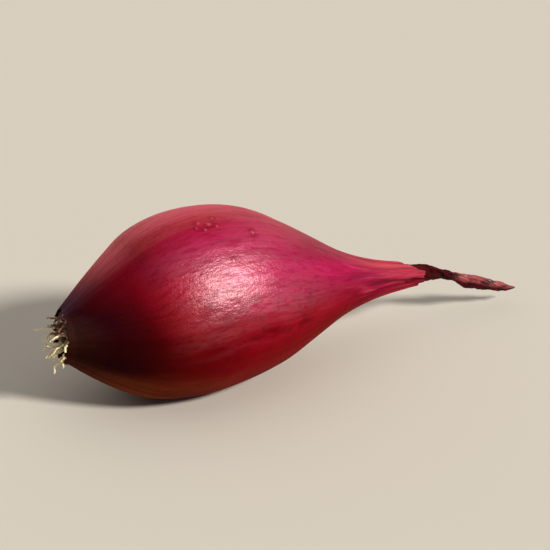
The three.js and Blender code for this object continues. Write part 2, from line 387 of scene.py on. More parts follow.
class Nodes:
    """A short way to lay out a material's nodes."""

    def __init__(self, name):
        self.material = bpy.data.materials.new(name)
        self.material.use_nodes = True
        self.tree = self.material.node_tree
        self.shader = self.tree.nodes["Principled BSDF"]

    def add(self, kind, **settings):
        """A new node."""
        node = self.tree.nodes.new(kind)
        for key, value in settings.items():
            setattr(node, key, value)
        return node

    def feed(self, socket, value):
        """Links a socket, or sets it to a plain value."""
        if isinstance(value, bpy.types.NodeSocket):
            self.tree.links.new(value, socket)
        else:
            socket.default_value = value

    def read(self, name, vector=False):
        """An attribute of the mesh."""
        node = self.add("ShaderNodeAttribute", attribute_name=name)
        return node.outputs["Vector" if vector else "Fac"]

    def math(self, operation, first, second, clamp=False):
        """One value worked out from two."""
        node = self.add("ShaderNodeMath", operation=operation, use_clamp=clamp)
        self.feed(node.inputs[0], first)
        self.feed(node.inputs[1], second)
        return node.outputs[0]

    def plus(self, first, *others):
        """Values added up."""
        for other in others:
            first = self.math("ADD", first, other)
        return first

    def less(self, first, second):
        """A value with another taken away."""
        return self.math("SUBTRACT", first, second)

    def times(self, first, *others):
        """Values multiplied together."""
        for other in others:
            first = self.math("MULTIPLY", first, other)
        return first

    def scaled(self, vector, factors):
        """A vector with each of its parts multiplied."""
        node = self.add("ShaderNodeVectorMath", operation="MULTIPLY")
        self.feed(node.inputs[0], vector)
        node.inputs[1].default_value = factors
        return node.outputs[0]

    def apart(self, vector, place):
        """How far a vector is from a fixed place."""
        node = self.add("ShaderNodeVectorMath", operation="DISTANCE")
        self.feed(node.inputs[0], vector)
        node.inputs[1].default_value = place
        return node.outputs["Value"]

    def noise(self, vector, scale, detail, roughness):
        """A cloudy pattern, about a half on average."""
        node = self.add("ShaderNodeTexNoise")
        self.feed(node.inputs["Vector"], vector)
        node.inputs["Scale"].default_value = scale
        node.inputs["Detail"].default_value = detail
        node.inputs["Roughness"].default_value = roughness
        return node.outputs["Fac"]

    def span(self, value, low, high, new_low=0.0, new_high=1.0):
        """A value taken from one range to another with soft ends."""
        node = self.add("ShaderNodeMapRange", interpolation_type="SMOOTHSTEP")
        self.feed(node.inputs["Value"], value)
        node.inputs["From Min"].default_value = low
        node.inputs["From Max"].default_value = high
        node.inputs["To Min"].default_value = new_low
        node.inputs["To Max"].default_value = new_high
        return node.outputs["Result"]

    def mix(self, factor, first, second, blend="MIX"):
        """Two colours mixed."""
        node = self.add("ShaderNodeMix", data_type="RGBA", blend_type=blend)
        self.feed(node.inputs["Factor"], factor)
        for socket, value in ((node.inputs["A"], first), (node.inputs["B"], second)):
            self.feed(socket, value if isinstance(value, bpy.types.NodeSocket) else (*value, 1))
        return node.outputs["Result"]

    def tint(self, base, amount, factors):
        """A colour with its red, green and blue multiplied, by some amount."""
        return self.mix(amount, base, factors, "MULTIPLY")

    def ramp(self, value, stops):
        """A colour that changes along a value, from [place, colour] stops."""
        node = self.add("ShaderNodeValToRGB")
        elements = node.color_ramp.elements
        while len(elements) < len(stops):
            elements.new(0.5)
        for element, (place, tint) in zip(elements, stops):
            element.position = place
            element.color = (*tint, 1)
        self.feed(node.inputs["Fac"], value)
        return node.outputs["Color"]

    def bump(self, height, distance):
        """Small relief from a height, in metres at full height."""
        node = self.add("ShaderNodeBump")
        self.feed(node.inputs["Height"], height)
        node.inputs["Distance"].default_value = distance
        self.feed(self.shader.inputs["Normal"], node.outputs["Normal"])
        return node


# ---------------------------------------------------------------------------- the bulb

# Angles round the bulb run from its far side, +Y, over the top.

# Seeds of the two ragged edges
MOUTH_SEED = 31
RIM_SEED = 21

# The mouth slants and is ragged: the side where its skin reaches furthest, how far it is cut back on
# the other side, between which angles from the first it slants, and how ragged it is
MOUTH_LONGEST = math.radians(182)
MOUTH_CUT_BACK = 4.4 * MM
MOUTH_SLANT_FROM = math.radians(20)
MOUTH_SLANT_TO = math.radians(120)
MOUTH_RAGGED = 0.3 * MM
MOUTH_TEETH = (4, 7, 12, 19)

# The ragged rim at the roots
RIM_RAGGED = 0.35 * MM
RIM_TEETH = (3, 7, 11, 17, 26)

# The edge of an outer skin runs along the neck and turns as it goes. That skin lies closer and closer
# to the one below it over the sheet's angle, and its edge is a step as wide as the edge's angle
FOLD_BEGINS = 57 * MM
FOLD_GROWN = 66 * MM
FOLD_START = math.radians(146)
FOLD_END = math.radians(180)
FOLD_SHEET = math.radians(55)
FOLD_EDGE = math.radians(4)

# A hollow lies beside that edge, just short of the mouth
PIT_DEPTH = 0.9 * MM
PIT_LENGTH = 2.4 * MM
PIT_WIDTH = math.radians(13)
PIT_PAST_FOLD = math.radians(7.8)
PIT_BEFORE_MOUTH = 2.2 * MM

# The skin's unevenness, as waves round the bulb: how many in each, how far they drift in a length
# along it, that length, and a seed
LUMPS = ((1, 2, 3, 4), 1.5, 30 * MM, 11)
VEINS = ((29, 34, 38, 43, 47, 53), 0.8, 30 * MM, 12)
PLEATS = ((6, 8, 9, 11, 14), 0.5, 20 * MM, 13)
PUCKERS = ((16, 19, 23, 27), 0.5, 6 * MM, 14)

# Where along the bulb these are, and the painted shade in the neck's folds: none at the first distance, full
# at the second
VEINS_START = (1 * MM, 9 * MM)
VEINS_END = (66 * MM, 45 * MM)
PLEATS_START = (40 * MM, 66 * MM)
PUCKERS_END = (7 * MM, 0.5 * MM)
FOLDS_START = (45 * MM, 62 * MM)

# Rings inside the root end and inside the mouth: how far along from the edge and how far inward, in
# millimetres, and how much of the edge's own unevenness is left there
ROOT_HOLLOW = ((2.2, 1.2, 0.25), (2.2, 0.98, 0.25), (1.0, 0.62, 0.25), (0.35, 0.3, 0.4), (0.05, 0.1, 0.7))
MOUTH_HOLLOW = ((-0.03, 0.1, 0.8), (-0.15, 0.26, 0.6), (-0.5, 0.42, 0.3), (-1.5, 0.55, 0), (-3.0, 0.7, 0))

# How far rows of faces are drawn towards both ends of the bulb, where the detail is finer, and the
# shares of the rows up to which the rim, and from which the mouth, moves them along
ROWS_DRAWN = 0.085
RIM_ROWS = 0.08
MOUTH_ROWS = 0.86

# The gap under the bulb, and how softly it meets its flat spot
FLOOR_GAP = 0.03 * MM
FLAT_SOFTNESS = 0.12 * MM

# A pleat gets painted fold shade where the skin lies lower than the first of these, fully at the second
PLEAT_EDGE = 0.12 * MM
PLEAT_BOTTOM = -0.14 * MM


def mouth_cut(around):
    """How much shorter the neck's skin is than the whole neck, round its slanting mouth."""
    apart = np.abs((around - MOUTH_LONGEST + math.pi) % (2 * math.pi) - math.pi)
    back = MOUTH_CUT_BACK * fade(apart, MOUTH_SLANT_FROM, MOUTH_SLANT_TO)
    return back + MOUTH_RAGGED * (1 + wavy(around, 0, MOUTH_TEETH, 0, MOUTH_SEED))


def rim_start(around):
    """Where along the bulb its ragged rim at the roots begins: below 0 where it stands out."""
    slant = RIM_SLANT * (0.5 + 0.5 * np.cos(around - RIM_SLANT_ANGLE))
    return RIM_RAGGED * wavy(around, 0, RIM_TEETH, 0, RIM_SEED) - slant


def fold_angle(along, outline_length):
    """Where the overlapping edge of skin runs round the neck, at a distance along it."""
    step = np.clip((along - FOLD_BEGINS) / (outline_length - FOLD_BEGINS), 0, 1)
    return FOLD_START + (FOLD_END - FOLD_START) * step


def fold_lift(around, along, outline_length, step_height):
    """The overlap on the neck: the skin above the fold's edge stands off the skin below it."""
    from_edge = (fold_angle(along, outline_length) - around) % (2 * math.pi)
    sheet = np.exp(-from_edge / FOLD_SHEET)
    return step_height * fade(along, FOLD_BEGINS, FOLD_GROWN) * sheet * fade(from_edge, 0, FOLD_EDGE)


def fold_pit(around, along, outline_length):
    """The hollow beside the fold's edge."""
    past_fold = (around - fold_angle(along, outline_length) - PIT_PAST_FOLD) / PIT_WIDTH
    from_middle = (along - outline_length + PIT_BEFORE_MOUTH) / PIT_LENGTH
    return -PIT_DEPTH * np.exp(-past_fold ** 2 - from_middle ** 2)


def unevenness(around, along, kind):
    """One kind of the skin's unevenness, about -1 to 1."""
    waves, drift, length, seed = kind
    return wavy(around, along / length, waves, drift, seed)


def fine_relief(around, along, skin, outline_length):
    """How far the veins, the neck's pleats and fold, and the puckers at the roots stand off the bulb."""
    veins = skin.vein_height * unevenness(around, along, VEINS)
    veins = veins * fade(along, *VEINS_START) * fade(along, *VEINS_END)
    pleats = skin.pleat_depth * unevenness(around, along, PLEATS) * fade(along, *PLEATS_START)
    puckers = skin.pucker_depth * unevenness(around, along, PUCKERS) * fade(along, *PUCKERS_END)
    fold = fold_lift(around, along, outline_length, skin.fold_step)
    return veins + pleats + puckers + fold + fold_pit(around, along, outline_length)


def bulb_rings(skin, outline):
    """Rings of the bulb from inside the root hollow, over the skin, to inside the mouth.

    The distance along the bulb and the fine relief are given too, for the rings of the skin alone.
    """
    around = np.arange(skin.sides) / skin.sides * 2 * math.pi
    portions = np.linspace(0, 1, skin.rows)[:, None]
    portions = portions - ROWS_DRAWN * np.sin(2 * math.pi * portions)
    start = rim_start(around) * fade(portions, RIM_ROWS, 0)
    cut = mouth_cut(around) * fade(portions, MOUTH_ROWS, 1)
    along = portions * outline.length + start - cut
    fine = fine_relief(around, along, skin, outline.length)
    relief = fine + skin.lump_height * unevenness(around, along, LUMPS) + RIM_CLOSING * np.minimum(along, 0)
    outer = outline.place(along, around, relief)
    first = [
        outline.place(along[0] * left + depth * MM, around, relief[0] * left - inset * MM)
        for depth, inset, left in ROOT_HOLLOW
    ]
    last = [
        outline.place(along[-1] + depth * MM, around, relief[-1] * left - inset * MM)
        for depth, inset, left in MOUTH_HOLLOW
    ]
    return np.concatenate([first, outer, last]), along, fine


def settle(points):
    """Presses the underside onto the floor with a soft edge to the flat spot."""
    above = points[..., 2] - FLOOR_GAP
    points[..., 2] = FLOOR_GAP + FLAT_SOFTNESS * np.logaddexp(0, above / FLAT_SOFTNESS)
    return points


# ----------------------------------------------------------------------- the bulb's skin

# The skin's markings lie on a tube of radius 1 and this length. It is longer for its width than the
# bulb is, so that they stand closer together along the bulb
PLACE_LENGTH = 7.3

# How fine each marking is round the bulb (two directions) and along it, its detail and its roughness
MARKINGS = {
    "broad": ((2.4, 2.4, 0.5), 3.0, 0.55),
    "streak": ((9, 9, 0.4), 3.0, 0.6),
    "fine": ((42, 42, 0.55), 2.0, 0.6),
    "patch": ((1.6, 1.6, 1.0), 3.0, 0.55),
    "mottle": ((22, 22, 4), 3.0, 0.6),
    "blotch": ((6.5, 6.5, 2.4), 4.0, 0.7),
    "wrinkle": ((4.6, 4.6, 0.8), 3.0, 0.6),
    "grain": ((32, 32, 14), 4.0, 0.65),
}

# The dark skin of the root end reaches out in two tongues: the way each faces, backward and upward,
# how narrow it is, and its length as a share of the bulb's
DARK_TONGUES = ((-0.96, 0.28, 5.0, 0.095), (-0.96, -0.28, 14.0, 0.05))

# How ragged the tongues' ends are, the share of its way along that any place keeps, and how gently
# that takes over
TONGUE_RAGGED = 0.035
TONGUE_LEAST = 0.2
TONGUE_SOFTNESS = 0.0006

# What the skin's red, green and blue are multiplied by: on its lower half, for a painted warm bounce
# from the floor; underneath, for painted shade; on the band along the neck; on top near the roots; on
# top towards the neck, dulled as part of a painted sky sheen; in its dark and its pale markings;
# beside the dark root end, for a painted widening of the highlight's halo; and round a blister
PAINTED_WARM_BOUNCE_TINT = (1.0, 0.7, 0.25)
PAINTED_UNDERSIDE_SHADE_TINT = (0.43, 0.3, 0.06)
NECK_BAND_TINT = (0.7, 0.55, 0.62)
TOP_TINT = (0.9, 1.0, 0.58)
DULLED_TOP_TINT = (0.76, 1.0, 0.76)
DARK_TINT = (0.58, 0.45, 0.42)
PALE_TINT = (1.2, 1.5, 1.5)
PAINTED_HALO_TINT = (1.35, 0.9, 1.1)
BRUISE_TINT = (0.62, 0.32, 0.35)

# What is added to them on top towards the neck, for a painted whitish sheen of the sky
PAINTED_SKY_SHEEN_ADDED = (0.0, 0.045, 0.02)

# Tiny blisters on the skin: distance along the bulb, angle round it, radius
BLISTERS = (
    (25.9 * MM, math.radians(100), 0.5 * MM),
    (27.0 * MM, math.radians(103), 0.7 * MM),
    (27.9 * MM, math.radians(98), 0.4 * MM),
    (26.2 * MM, math.radians(107), 0.5 * MM),
    (25.3 * MM, math.radians(104), 0.35 * MM),
    (27.8 * MM, math.radians(106), 0.45 * MM),
    (32.4 * MM, math.radians(114), 0.6 * MM),
    (27.8 * MM, math.radians(132), 0.55 * MM),
)

# The bulb's radius at the blisters
BLISTERED_RADIUS = 17 * MM

# A blister's flat top, its bruise's edge, and where the bruise is full, as shares of its radius
BLISTER_TOP = 0.2
BRUISE_EDGE = 3.2
BRUISE_FULL = 0.8

# Shares of the skin's relief
GRAIN_SHARE = 0.85
STREAK_SHARE = 0.15
BLISTER_SHARE = 0.55


class SkinNodes(Nodes):
    """The bulb's skin, with a method for each layer of its colour.

    The mesh gives the place on the skin: the cosine and sine of the angle round the bulb and the
    place along it, the share of the way from the roots to the mouth, and where the neck has folds.
    """

    def __init__(self, skin, outline_length):
        super().__init__("onion_skin")
        self.skin = skin
        self.place = self.read("skin_place", vector=True)
        self.along = self.read("along")
        self.pleat = self.read("pleat")
        parts = self.add("ShaderNodeSeparateXYZ")
        self.feed(parts.inputs[0], self.place)
        self.backward, self.upward = parts.outputs["X"], parts.outputs["Y"]
        self.marks = {
            name: self.noise(self.scaled(self.place, fineness), 1.0, detail, roughness)
            for name, (fineness, detail, roughness) in MARKINGS.items()
        }
        self.height = self.plus(self.upward, self.stray("broad", 0.7), self.stray("streak", 0.35))
        self.from_dark = self.past_dark_skin()
        # The skin is bare of wax a little further along at the top
        self.from_bare = self.less(self.from_dark, self.span(self.upward, 0.5, 0.87, 0, 0.05))
        self.blistered, self.bruised = self.blister_spots(outline_length)

    def stray(self, mark, amount):
        """A value that strays either side of 0 with one of the markings."""
        return self.times(self.less(self.marks[mark], 0.5), amount)

    def past_dark_skin(self):
        """How far along the bulb a place is, less how far the dark skin of the root end reaches there."""
        past = self.along
        for backward, upward, narrowness, reach in DARK_TONGUES:
            facing = self.plus(self.times(self.backward, backward), self.times(self.upward, upward))
            facing = self.math("POWER", self.math("MAXIMUM", facing, 0.0), narrowness)
            past = self.less(past, self.times(facing, reach))
        past = self.plus(past, self.stray("streak", TONGUE_RAGGED))
        # The reach fades out gently where it would pass the root plate
        least = self.times(self.along, TONGUE_LEAST)
        spare = self.less(past, least)
        spare = self.math("POWER", self.plus(self.times(spare, spare), TONGUE_SOFTNESS), 0.5)
        return self.times(self.plus(past, least, spare), 0.5)

    def blister_spots(self, outline_length):
        """Where the skin is blistered and where it is bruised round the blisters."""
        blistered, bruised = 0.0, 0.0
        for station, turn, size in BLISTERS:
            centre = (math.cos(turn), math.sin(turn), station / outline_length * PLACE_LENGTH)
            apart = self.apart(self.place, centre)
            radius = size / BLISTERED_RADIUS
            blistered = self.plus(blistered, self.span(apart, radius, radius * BLISTER_TOP))
            bruised = self.plus(bruised, self.span(apart, radius * BRUISE_EDGE, radius * BRUISE_FULL))
        mottled = self.span(self.marks["mottle"], 0.38, 0.55)
        return blistered, self.math("MULTIPLY", bruised, mottled, clamp=True)

    def ground(self):
        """Near-black with a painted grey-blue sky reflection on top at the roots, through crimson, to pink
        at the neck.
        """
        skin = self.skin
        base = self.ramp(self.from_dark, [
            (0.0, skin.rim_colour),
            (0.018, skin.root_colour),
            (0.065, skin.maroon_colour),
            (0.135, skin.wine_colour),
            (0.22, skin.deep_colour),
            (0.33, skin.body_colour),
            (0.76, skin.body_colour),
            (0.87, skin.neck_colour),
            (0.95, skin.neck_colour),
            (0.99, skin.deep_colour),
        ])
        # A painted grey-blue reflection of the sky on top of the dark root end
        sky_reflected = self.times(
            self.span(self.upward, 0.6, 0.95),
            self.span(self.along, 0.12, 0.0, 0, 0.6),
            self.span(self.backward, -0.45, 0.2),
        )
        return self.mix(sky_reflected, base, skin.painted_sky_reflection_colour)

    def add_painted_underside_shade(self, base):
        """Painted shade and bounce: the lower half is darker, and warmer from the floor, and a red-brown
        floor reflection is painted underneath by the roots.
        """
        # Painted shade underneath, and a painted warm bounce from the floor on the lower half
        underneath = self.tint(base, 1.0, PAINTED_UNDERSIDE_SHADE_TINT)
        lower = self.times(self.span(self.height, 0.6, -0.3), self.span(self.along, 0.9, 0.65))
        base = self.tint(base, lower, PAINTED_WARM_BOUNCE_TINT)
        shade = self.times(self.span(self.height, 0.56, -0.42), self.span(self.along, 0.98, 0.7, 0.35, 1))
        base = self.mix(shade, base, underneath)
        # A painted reflection of a warm floor, low down near the roots
        floor_reflected = self.times(
            self.span(self.height, -0.3, -0.85, 0, 0.85),
            self.span(self.along, 0.55, 0.15),
            self.span(self.along, 0.0, 0.16, 0.25, 1),
        )
        return self.mix(floor_reflected, base, self.skin.painted_floor_reflection_colour)

    def add_dry_back_and_sheen(self, base):
        """The upper back is dusty pink: partly dried skin, partly a painted grazing sheen of the sky along
        the top.
        """
        behind = self.plus(self.backward, self.stray("streak", 0.7))
        # Partly dried skin, partly a painted grazing sheen of the sky along the top
        dry_skin_and_sheen = self.times(
            self.span(behind, -0.35, 0.6),
            self.span(self.from_dark, 0.0, 0.16),
            self.span(self.height, 0.1, 0.8),
            self.span(self.along, 0.8, 0.5, 0, 0.8),
        )
        return self.mix(dry_skin_and_sheen, base, self.skin.brown_colour)

    def add_neck_band(self, base):
        """A darker band runs along the front of the neck and widens towards the mouth."""
        widened = self.span(self.along, 0.72, 0.8, 0, 0.36)
        band = self.times(
            self.span(self.less(self.upward, widened), 0.62, 0.38, 0, 0.85),
            self.span(self.plus(self.upward, widened), -0.05, 0.28),
            self.span(self.along, 0.5, 0.6),
            self.span(self.backward, -0.2, -0.6),
        )
        return self.tint(base, band, NECK_BAND_TINT)

    def add_top_tints_and_sheen(self, base):
        """The top is less blue near the roots, and towards the neck it is dulled and given green: a painted
        whitish sky sheen.
        """
        near_roots = self.times(
            self.span(self.upward, 0.86, 0.98),
            self.span(self.along, 0.14, 0.22),
            self.span(self.along, 0.46, 0.36),
            self.span(self.backward, 0.14, -0.12),
        )
        base = self.tint(base, near_roots, TOP_TINT)
        in_front = self.span(self.backward, 0.25, -0.05)
        # Red and blue dulled on top towards the neck, part of the painted sky sheen
        dulled_top = self.times(
            self.span(self.upward, 0.72, 0.98),
            self.span(self.along, 0.5, 0.64),
            self.span(self.along, 0.84, 0.72),
            in_front,
        )
        base = self.tint(base, dulled_top, DULLED_TOP_TINT)
        # Green and blue added on top: a painted whitish sheen of the sky
        painted_sky_sheen = self.times(
            self.span(self.upward, 0.78, 0.98),
            self.span(self.along, 0.34, 0.52),
            in_front,
        )
        return self.mix(painted_sky_sheen, base, PAINTED_SKY_SHEEN_ADDED, "ADD")

    def add_markings(self, base):
        """Dark streaks, pale grain, blotches where the wax ends, and the neck's wrinkles and folds, with
        painted shade in their hollows and painted highlights on the wrinkles' ridges.
        """
        marks = self.marks
        dark = self.tint(base, 1.0, DARK_TINT)
        base = self.mix(self.span(marks["broad"], 0.50, 0.70, 0, 0.45), base, dark)
        base = self.mix(self.span(marks["streak"], 0.50, 0.68, 0, 0.42), base, dark)
        pale = self.tint(base, 1.0, PALE_TINT)
        base = self.mix(self.span(marks["fine"], 0.50, 0.70, 0, 0.6), base, pale)
        base = self.mix(self.span(marks["patch"], 0.55, 0.7, 0, 0.3), base, pale)
        base = self.mix(self.span(marks["mottle"], 0.52, 0.68, 0, 0.35), base, dark)
        blotched = self.times(
            self.span(marks["blotch"], 0.48, 0.62, 0, 0.85),
            self.span(self.upward, 0.62, 0.3),
            self.span(self.upward, -0.5, 0.05),
            self.span(self.along, 0.24, 0.36),
            self.span(self.along, 0.7, 0.55),
        )
        base = self.mix(blotched, base, dark)
        # The neck's wrinkles are painted: shade in their hollows, highlights on their ridges, and shade
        # where the pleats lie low
        neck = self.span(self.along, 0.68, 0.82)
        painted_wrinkle_shade = self.times(self.span(marks["wrinkle"], 0.5, 0.36, 0, 0.6), neck)
        base = self.mix(painted_wrinkle_shade, base, dark)
        painted_wrinkle_highlights = self.times(self.span(marks["wrinkle"], 0.52, 0.68, 0, 0.4), neck)
        base = self.mix(painted_wrinkle_highlights, base, self.skin.ridge_highlight_colour)
        return self.mix(self.span(self.pleat, 0.35, 0.0, 0, 0.8), base, self.skin.fold_shade_colour)

    def add_painted_halo(self, base):
        """The front just past the dark root end is brightened: a painted widening of the highlight's halo.
        """
        # A painted widening of the highlight's halo on the front
        painted_halo = self.times(
            self.span(self.from_bare, 0.04, 0.1),
            self.span(self.along, 0.33, 0.25),
            self.span(self.upward, 0.0, 0.3),
            self.span(self.upward, 0.86, 0.7),
            self.span(self.backward, -0.3, -0.7),
        )
        return self.tint(base, painted_halo, PAINTED_HALO_TINT)

    def add_blisters(self, base):
        """The blisters are pale, and the skin round them is bruised."""
        base = self.tint(base, self.times(self.bruised, 0.75), BRUISE_TINT)
        return self.mix(self.times(self.blistered, 0.45), base, self.skin.blister_colour)

    def set_gloss(self):
        """The upper front is waxy. The dead skin at the roots and the underside are dull."""
        skin, inputs = self.skin, self.shader.inputs
        waxy = self.times(
            self.span(self.height, -0.15, 0.42),
            self.span(self.from_bare, 0.06, 0.245),
            self.span(self.upward, 0.97, 0.8, 0.5, 1),
            self.span(self.backward, -0.2, -0.72, 0.25, 1),
            self.span(self.marks["mottle"], 0.62, 0.45, 0.5, 1),
            self.span(self.along, 0.74, 0.42, 0.2, 1),
        )
        self.feed(inputs["Coat Weight"], self.times(waxy, skin.wax))
        self.feed(inputs["Roughness"], self.span(waxy, 0, 1, skin.dry_roughness, skin.roughness))
        inputs["Coat Roughness"].default_value = skin.wax_roughness
        inputs["Coat IOR"].default_value = skin.wax_index
        inputs["Specular IOR Level"].default_value = skin.dry_gloss
        inputs["Specular Tint"].default_value = (*skin.sheen_colour, 1)
        inputs["Metallic"].default_value = skin.sheen
        inputs["Sheen Weight"].default_value = skin.bloom
        inputs["Sheen Roughness"].default_value = skin.bloom_roughness
        inputs["Sheen Tint"].default_value = (*skin.bloom_colour, 1)

    def set_relief(self):
        """Fine grain and the blisters stand up from the skin and from its wax."""
        relief = self.plus(
            self.times(self.marks["grain"], GRAIN_SHARE),
            self.times(self.marks["fine"], STREAK_SHARE),
            self.times(self.blistered, BLISTER_SHARE),
        )
        bump = self.bump(relief, self.skin.grain_height)
        self.feed(self.shader.inputs["Coat Normal"], bump.outputs["Normal"])


def skin_material(skin, outline_length):
    """The skin, with its layers of colour put on one over the other."""
    n = SkinNodes(skin, outline_length)
    base = n.ground()
    layers = (
        n.add_painted_underside_shade,
        n.add_dry_back_and_sheen,
        n.add_neck_band,
        n.add_top_tints_and_sheen,
        n.add_markings,
        n.add_painted_halo,
        n.add_blisters,
    )
    for layer in layers:
        base = layer(base)
    n.feed(n.shader.inputs["Base Color"], base)
    n.set_gloss()
    n.set_relief()
    return n.material


class ONION_OT_bulb(bpy.types.Operator):
    """Models the bulb and its neck"""

    bl_idname = "onion.bulb"
    bl_label = "Bulb"

    def execute(self, context):
        skin = context.scene.onion_skin
        outline = BulbOutline()
        rings, along, fine = bulb_rings(skin, outline)
        mesh = skinned("onion_bulb", settle(rings))
        folded = fade(along, *FOLDS_START) * fade(fine, PLEAT_EDGE, PLEAT_BOTTOM)
        inside = (len(ROOT_HOLLOW), len(MOUTH_HOLLOW))
        share_along = np.pad(along, (inside, (0, 0)), mode="edge") / outline.length
        pleat = np.pad(1 - folded, ((inside[0], 0), (0, 0)), mode="edge")
        pleat = np.pad(pleat, ((0, inside[1]), (0, 0)))
        turns = np.broadcast_to(np.arange(skin.sides) / skin.sides * 2 * math.pi, share_along.shape)
        places = np.stack([np.cos(turns), np.sin(turns), share_along * PLACE_LENGTH], axis=-1)
        store(mesh, "skin_place", places.reshape(-1, 3))
        store(mesh, "along", share_along.ravel())
        store(mesh, "pleat", pleat.ravel())
        finish_piece("onion_bulb", mesh, skin_material(skin, outline.length), [BULB])
        return {"FINISHED"}


# ---------------------------------------------------------------------- the root plate

# How finely the plate is meshed
PLATE_SIDES = 96
PLATE_ROWS = 40

# How far the plate's edge reaches under the rim, and how much of the plate's depth is domed
PLATE_TUCKED = 0.35 * MM
PLATE_DOMED = 0.52

# How closely the plate's lumps stand across it, and where in the noise they are taken from
PLATE_LUMPS = 5.0
PLATE_LUMPS_FROM = Vector((3, 7, 1))


def plate_mesh(settings):
    """A lumpy dome with pits between the feet of the roots."""
    low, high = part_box(PLATE)
    centre = (low + high) / 2
    radius = (high.y - low.y) / 2 + PLATE_TUCKED
    crown = (high.x - low.x) * PLATE_DOMED
    rings = []
    for row in range(PLATE_ROWS):
        portion = 1 - row / PLATE_ROWS
        ring = []
        for side in range(PLATE_SIDES):
            turn = 2 * math.pi * side / PLATE_SIDES
            spot = Vector((math.cos(turn), math.sin(turn), 0)) * portion
            lumps = noise.turbulence(spot * PLATE_LUMPS + PLATE_LUMPS_FROM, 3, False) - 0.5
            height = crown * (1 - portion ** 2) + settings.lump_height * lumps
            x = low.x + crown - height
            ring.append((x, centre.y + radius * spot.x, centre.z + radius * spot.y))
        rings.append(ring)
    back = [(high.x, y, z) for _, y, z in rings[0]]
    rings = np.array([back] + rings)[:, ::-1]
    return skinned("root_plate", rings)


def plate_material(settings):
    """Corky pinkish brown lumps, darker between, with near-black specks."""
    n = Nodes("root_plate")
    spots = n.add("ShaderNodeTexCoord").outputs["Object"]
    lumps = n.noise(spots, 900, 3.0, 0.6)
    specks = n.noise(spots, 3200, 2.0, 0.6)
    base = n.mix(n.span(lumps, 0.42, 0.66), settings.plate_dark_colour, settings.plate_colour)
    base = n.mix(n.span(specks, 0.5, 0.75, 0, 0.5), base, settings.speck_colour)
    n.feed(n.shader.inputs["Base Color"], base)
    n.shader.inputs["Roughness"].default_value = 0.85
    n.bump(specks, 0.2 * MM)
    return n.material


class ONION_OT_root_plate(bpy.types.Operator):
    """Models the lumpy plate that the roots grow from"""

    bl_idname = "onion.root_plate"
    bl_label = "Root plate"

    def execute(self, context):
        settings = context.scene.onion_roots
        mesh = plate_mesh(settings)
        finish_piece("onion_root_plate", mesh, plate_material(settings), [PLATE])
        return {"FINISHED"}


# --------------------------------------------------------------------------- the roots

# How finely each root is meshed, and the first root's seed
ROOT_SIDES = 12
ROOT_POINTS = 30
ROOT_SEED = 600

# How far each root starts inside the plate
ROOT_BURIED = 0.7 * MM

# Roots that stand above the first of these heights on the plate are shorter and browner, fully so
# above the second. Heights run from -1 at the plate's lowest edge to 1 at its highest
RAISED_FROM = 0.1
RAISED_FULLY = 0.5
RAISED_SHORTER = 0.45
RAISED_BROWNER = 0.8

# How far a root's hook may turn either way from straight down, in radians
HOOK_TURN = 2.6

# How many half waves of kinks run along a root
KINKS = (3, 5, 8)

# The least and the greatest radius of a root, how flat it has dried, and how swollen its foot is
ROOT_RADIUS = (0.22 * MM, 0.34 * MM)
ROOT_FLATNESS = (0.55, 0.95)
FOOT_SWELLING = 0.14 * MM


def cross_directions(line):
    """Two directions across each point of a line, square to it."""
    tangents = np.gradient(line, axis=0)
    tangents /= np.linalg.norm(tangents, axis=1)[:, None]
    across = np.cross((0.0, 0.0, 1.0), tangents)
    across /= np.linalg.norm(across, axis=1)[:, None] + 1e-9
    return across, np.cross(tangents, across)


def raised_share(foot):
    """How far up the plate a root stands, from 0 up to its middle to 1 near its top."""
    low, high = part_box(PLATE)
    height = (foot[2] - (low.z + high.z) / 2) / (high.z - low.z) * 2
    return fade(height, RAISED_FROM, RAISED_FULLY)


def root_line(name, dice, settings):
    """A root's middle line from inside the plate, with its kinks and its hook."""
    line = spread_along(centre_line(name, 7), ROOT_POINTS)
    foot = line[0] - line[1]
    line = np.concatenate([[line[0] + foot / np.linalg.norm(foot) * ROOT_BURIED], line])
    portions = np.linspace(0, 1, len(line))
    # Roots shrink as they dry, so each ends well short of where it could reach
    shrunk = dice.uniform(settings.shortest, 1.0) * (1 - RAISED_SHORTER * raised_share(line[0]))
    line = line[0] + (line - line[0]) * shrunk
    hook = math.pi / 2 + dice.uniform(-HOOK_TURN, HOOK_TURN)
    across, above = cross_directions(line)
    for direction, lead in ((across, 0.0), (above, math.pi / 2)):
        kinks = sum(
            np.sin(portions * math.pi * count + dice.uniform(0, 2 * math.pi)) / count for count in KINKS
        )
        kinks = settings.kink * fade(portions, 0, 0.4) * kinks
        hooked = settings.hook * math.cos(hook + lead) * portions ** 2.5
        line = line + direction * (kinks + hooked)[:, None]
    return line


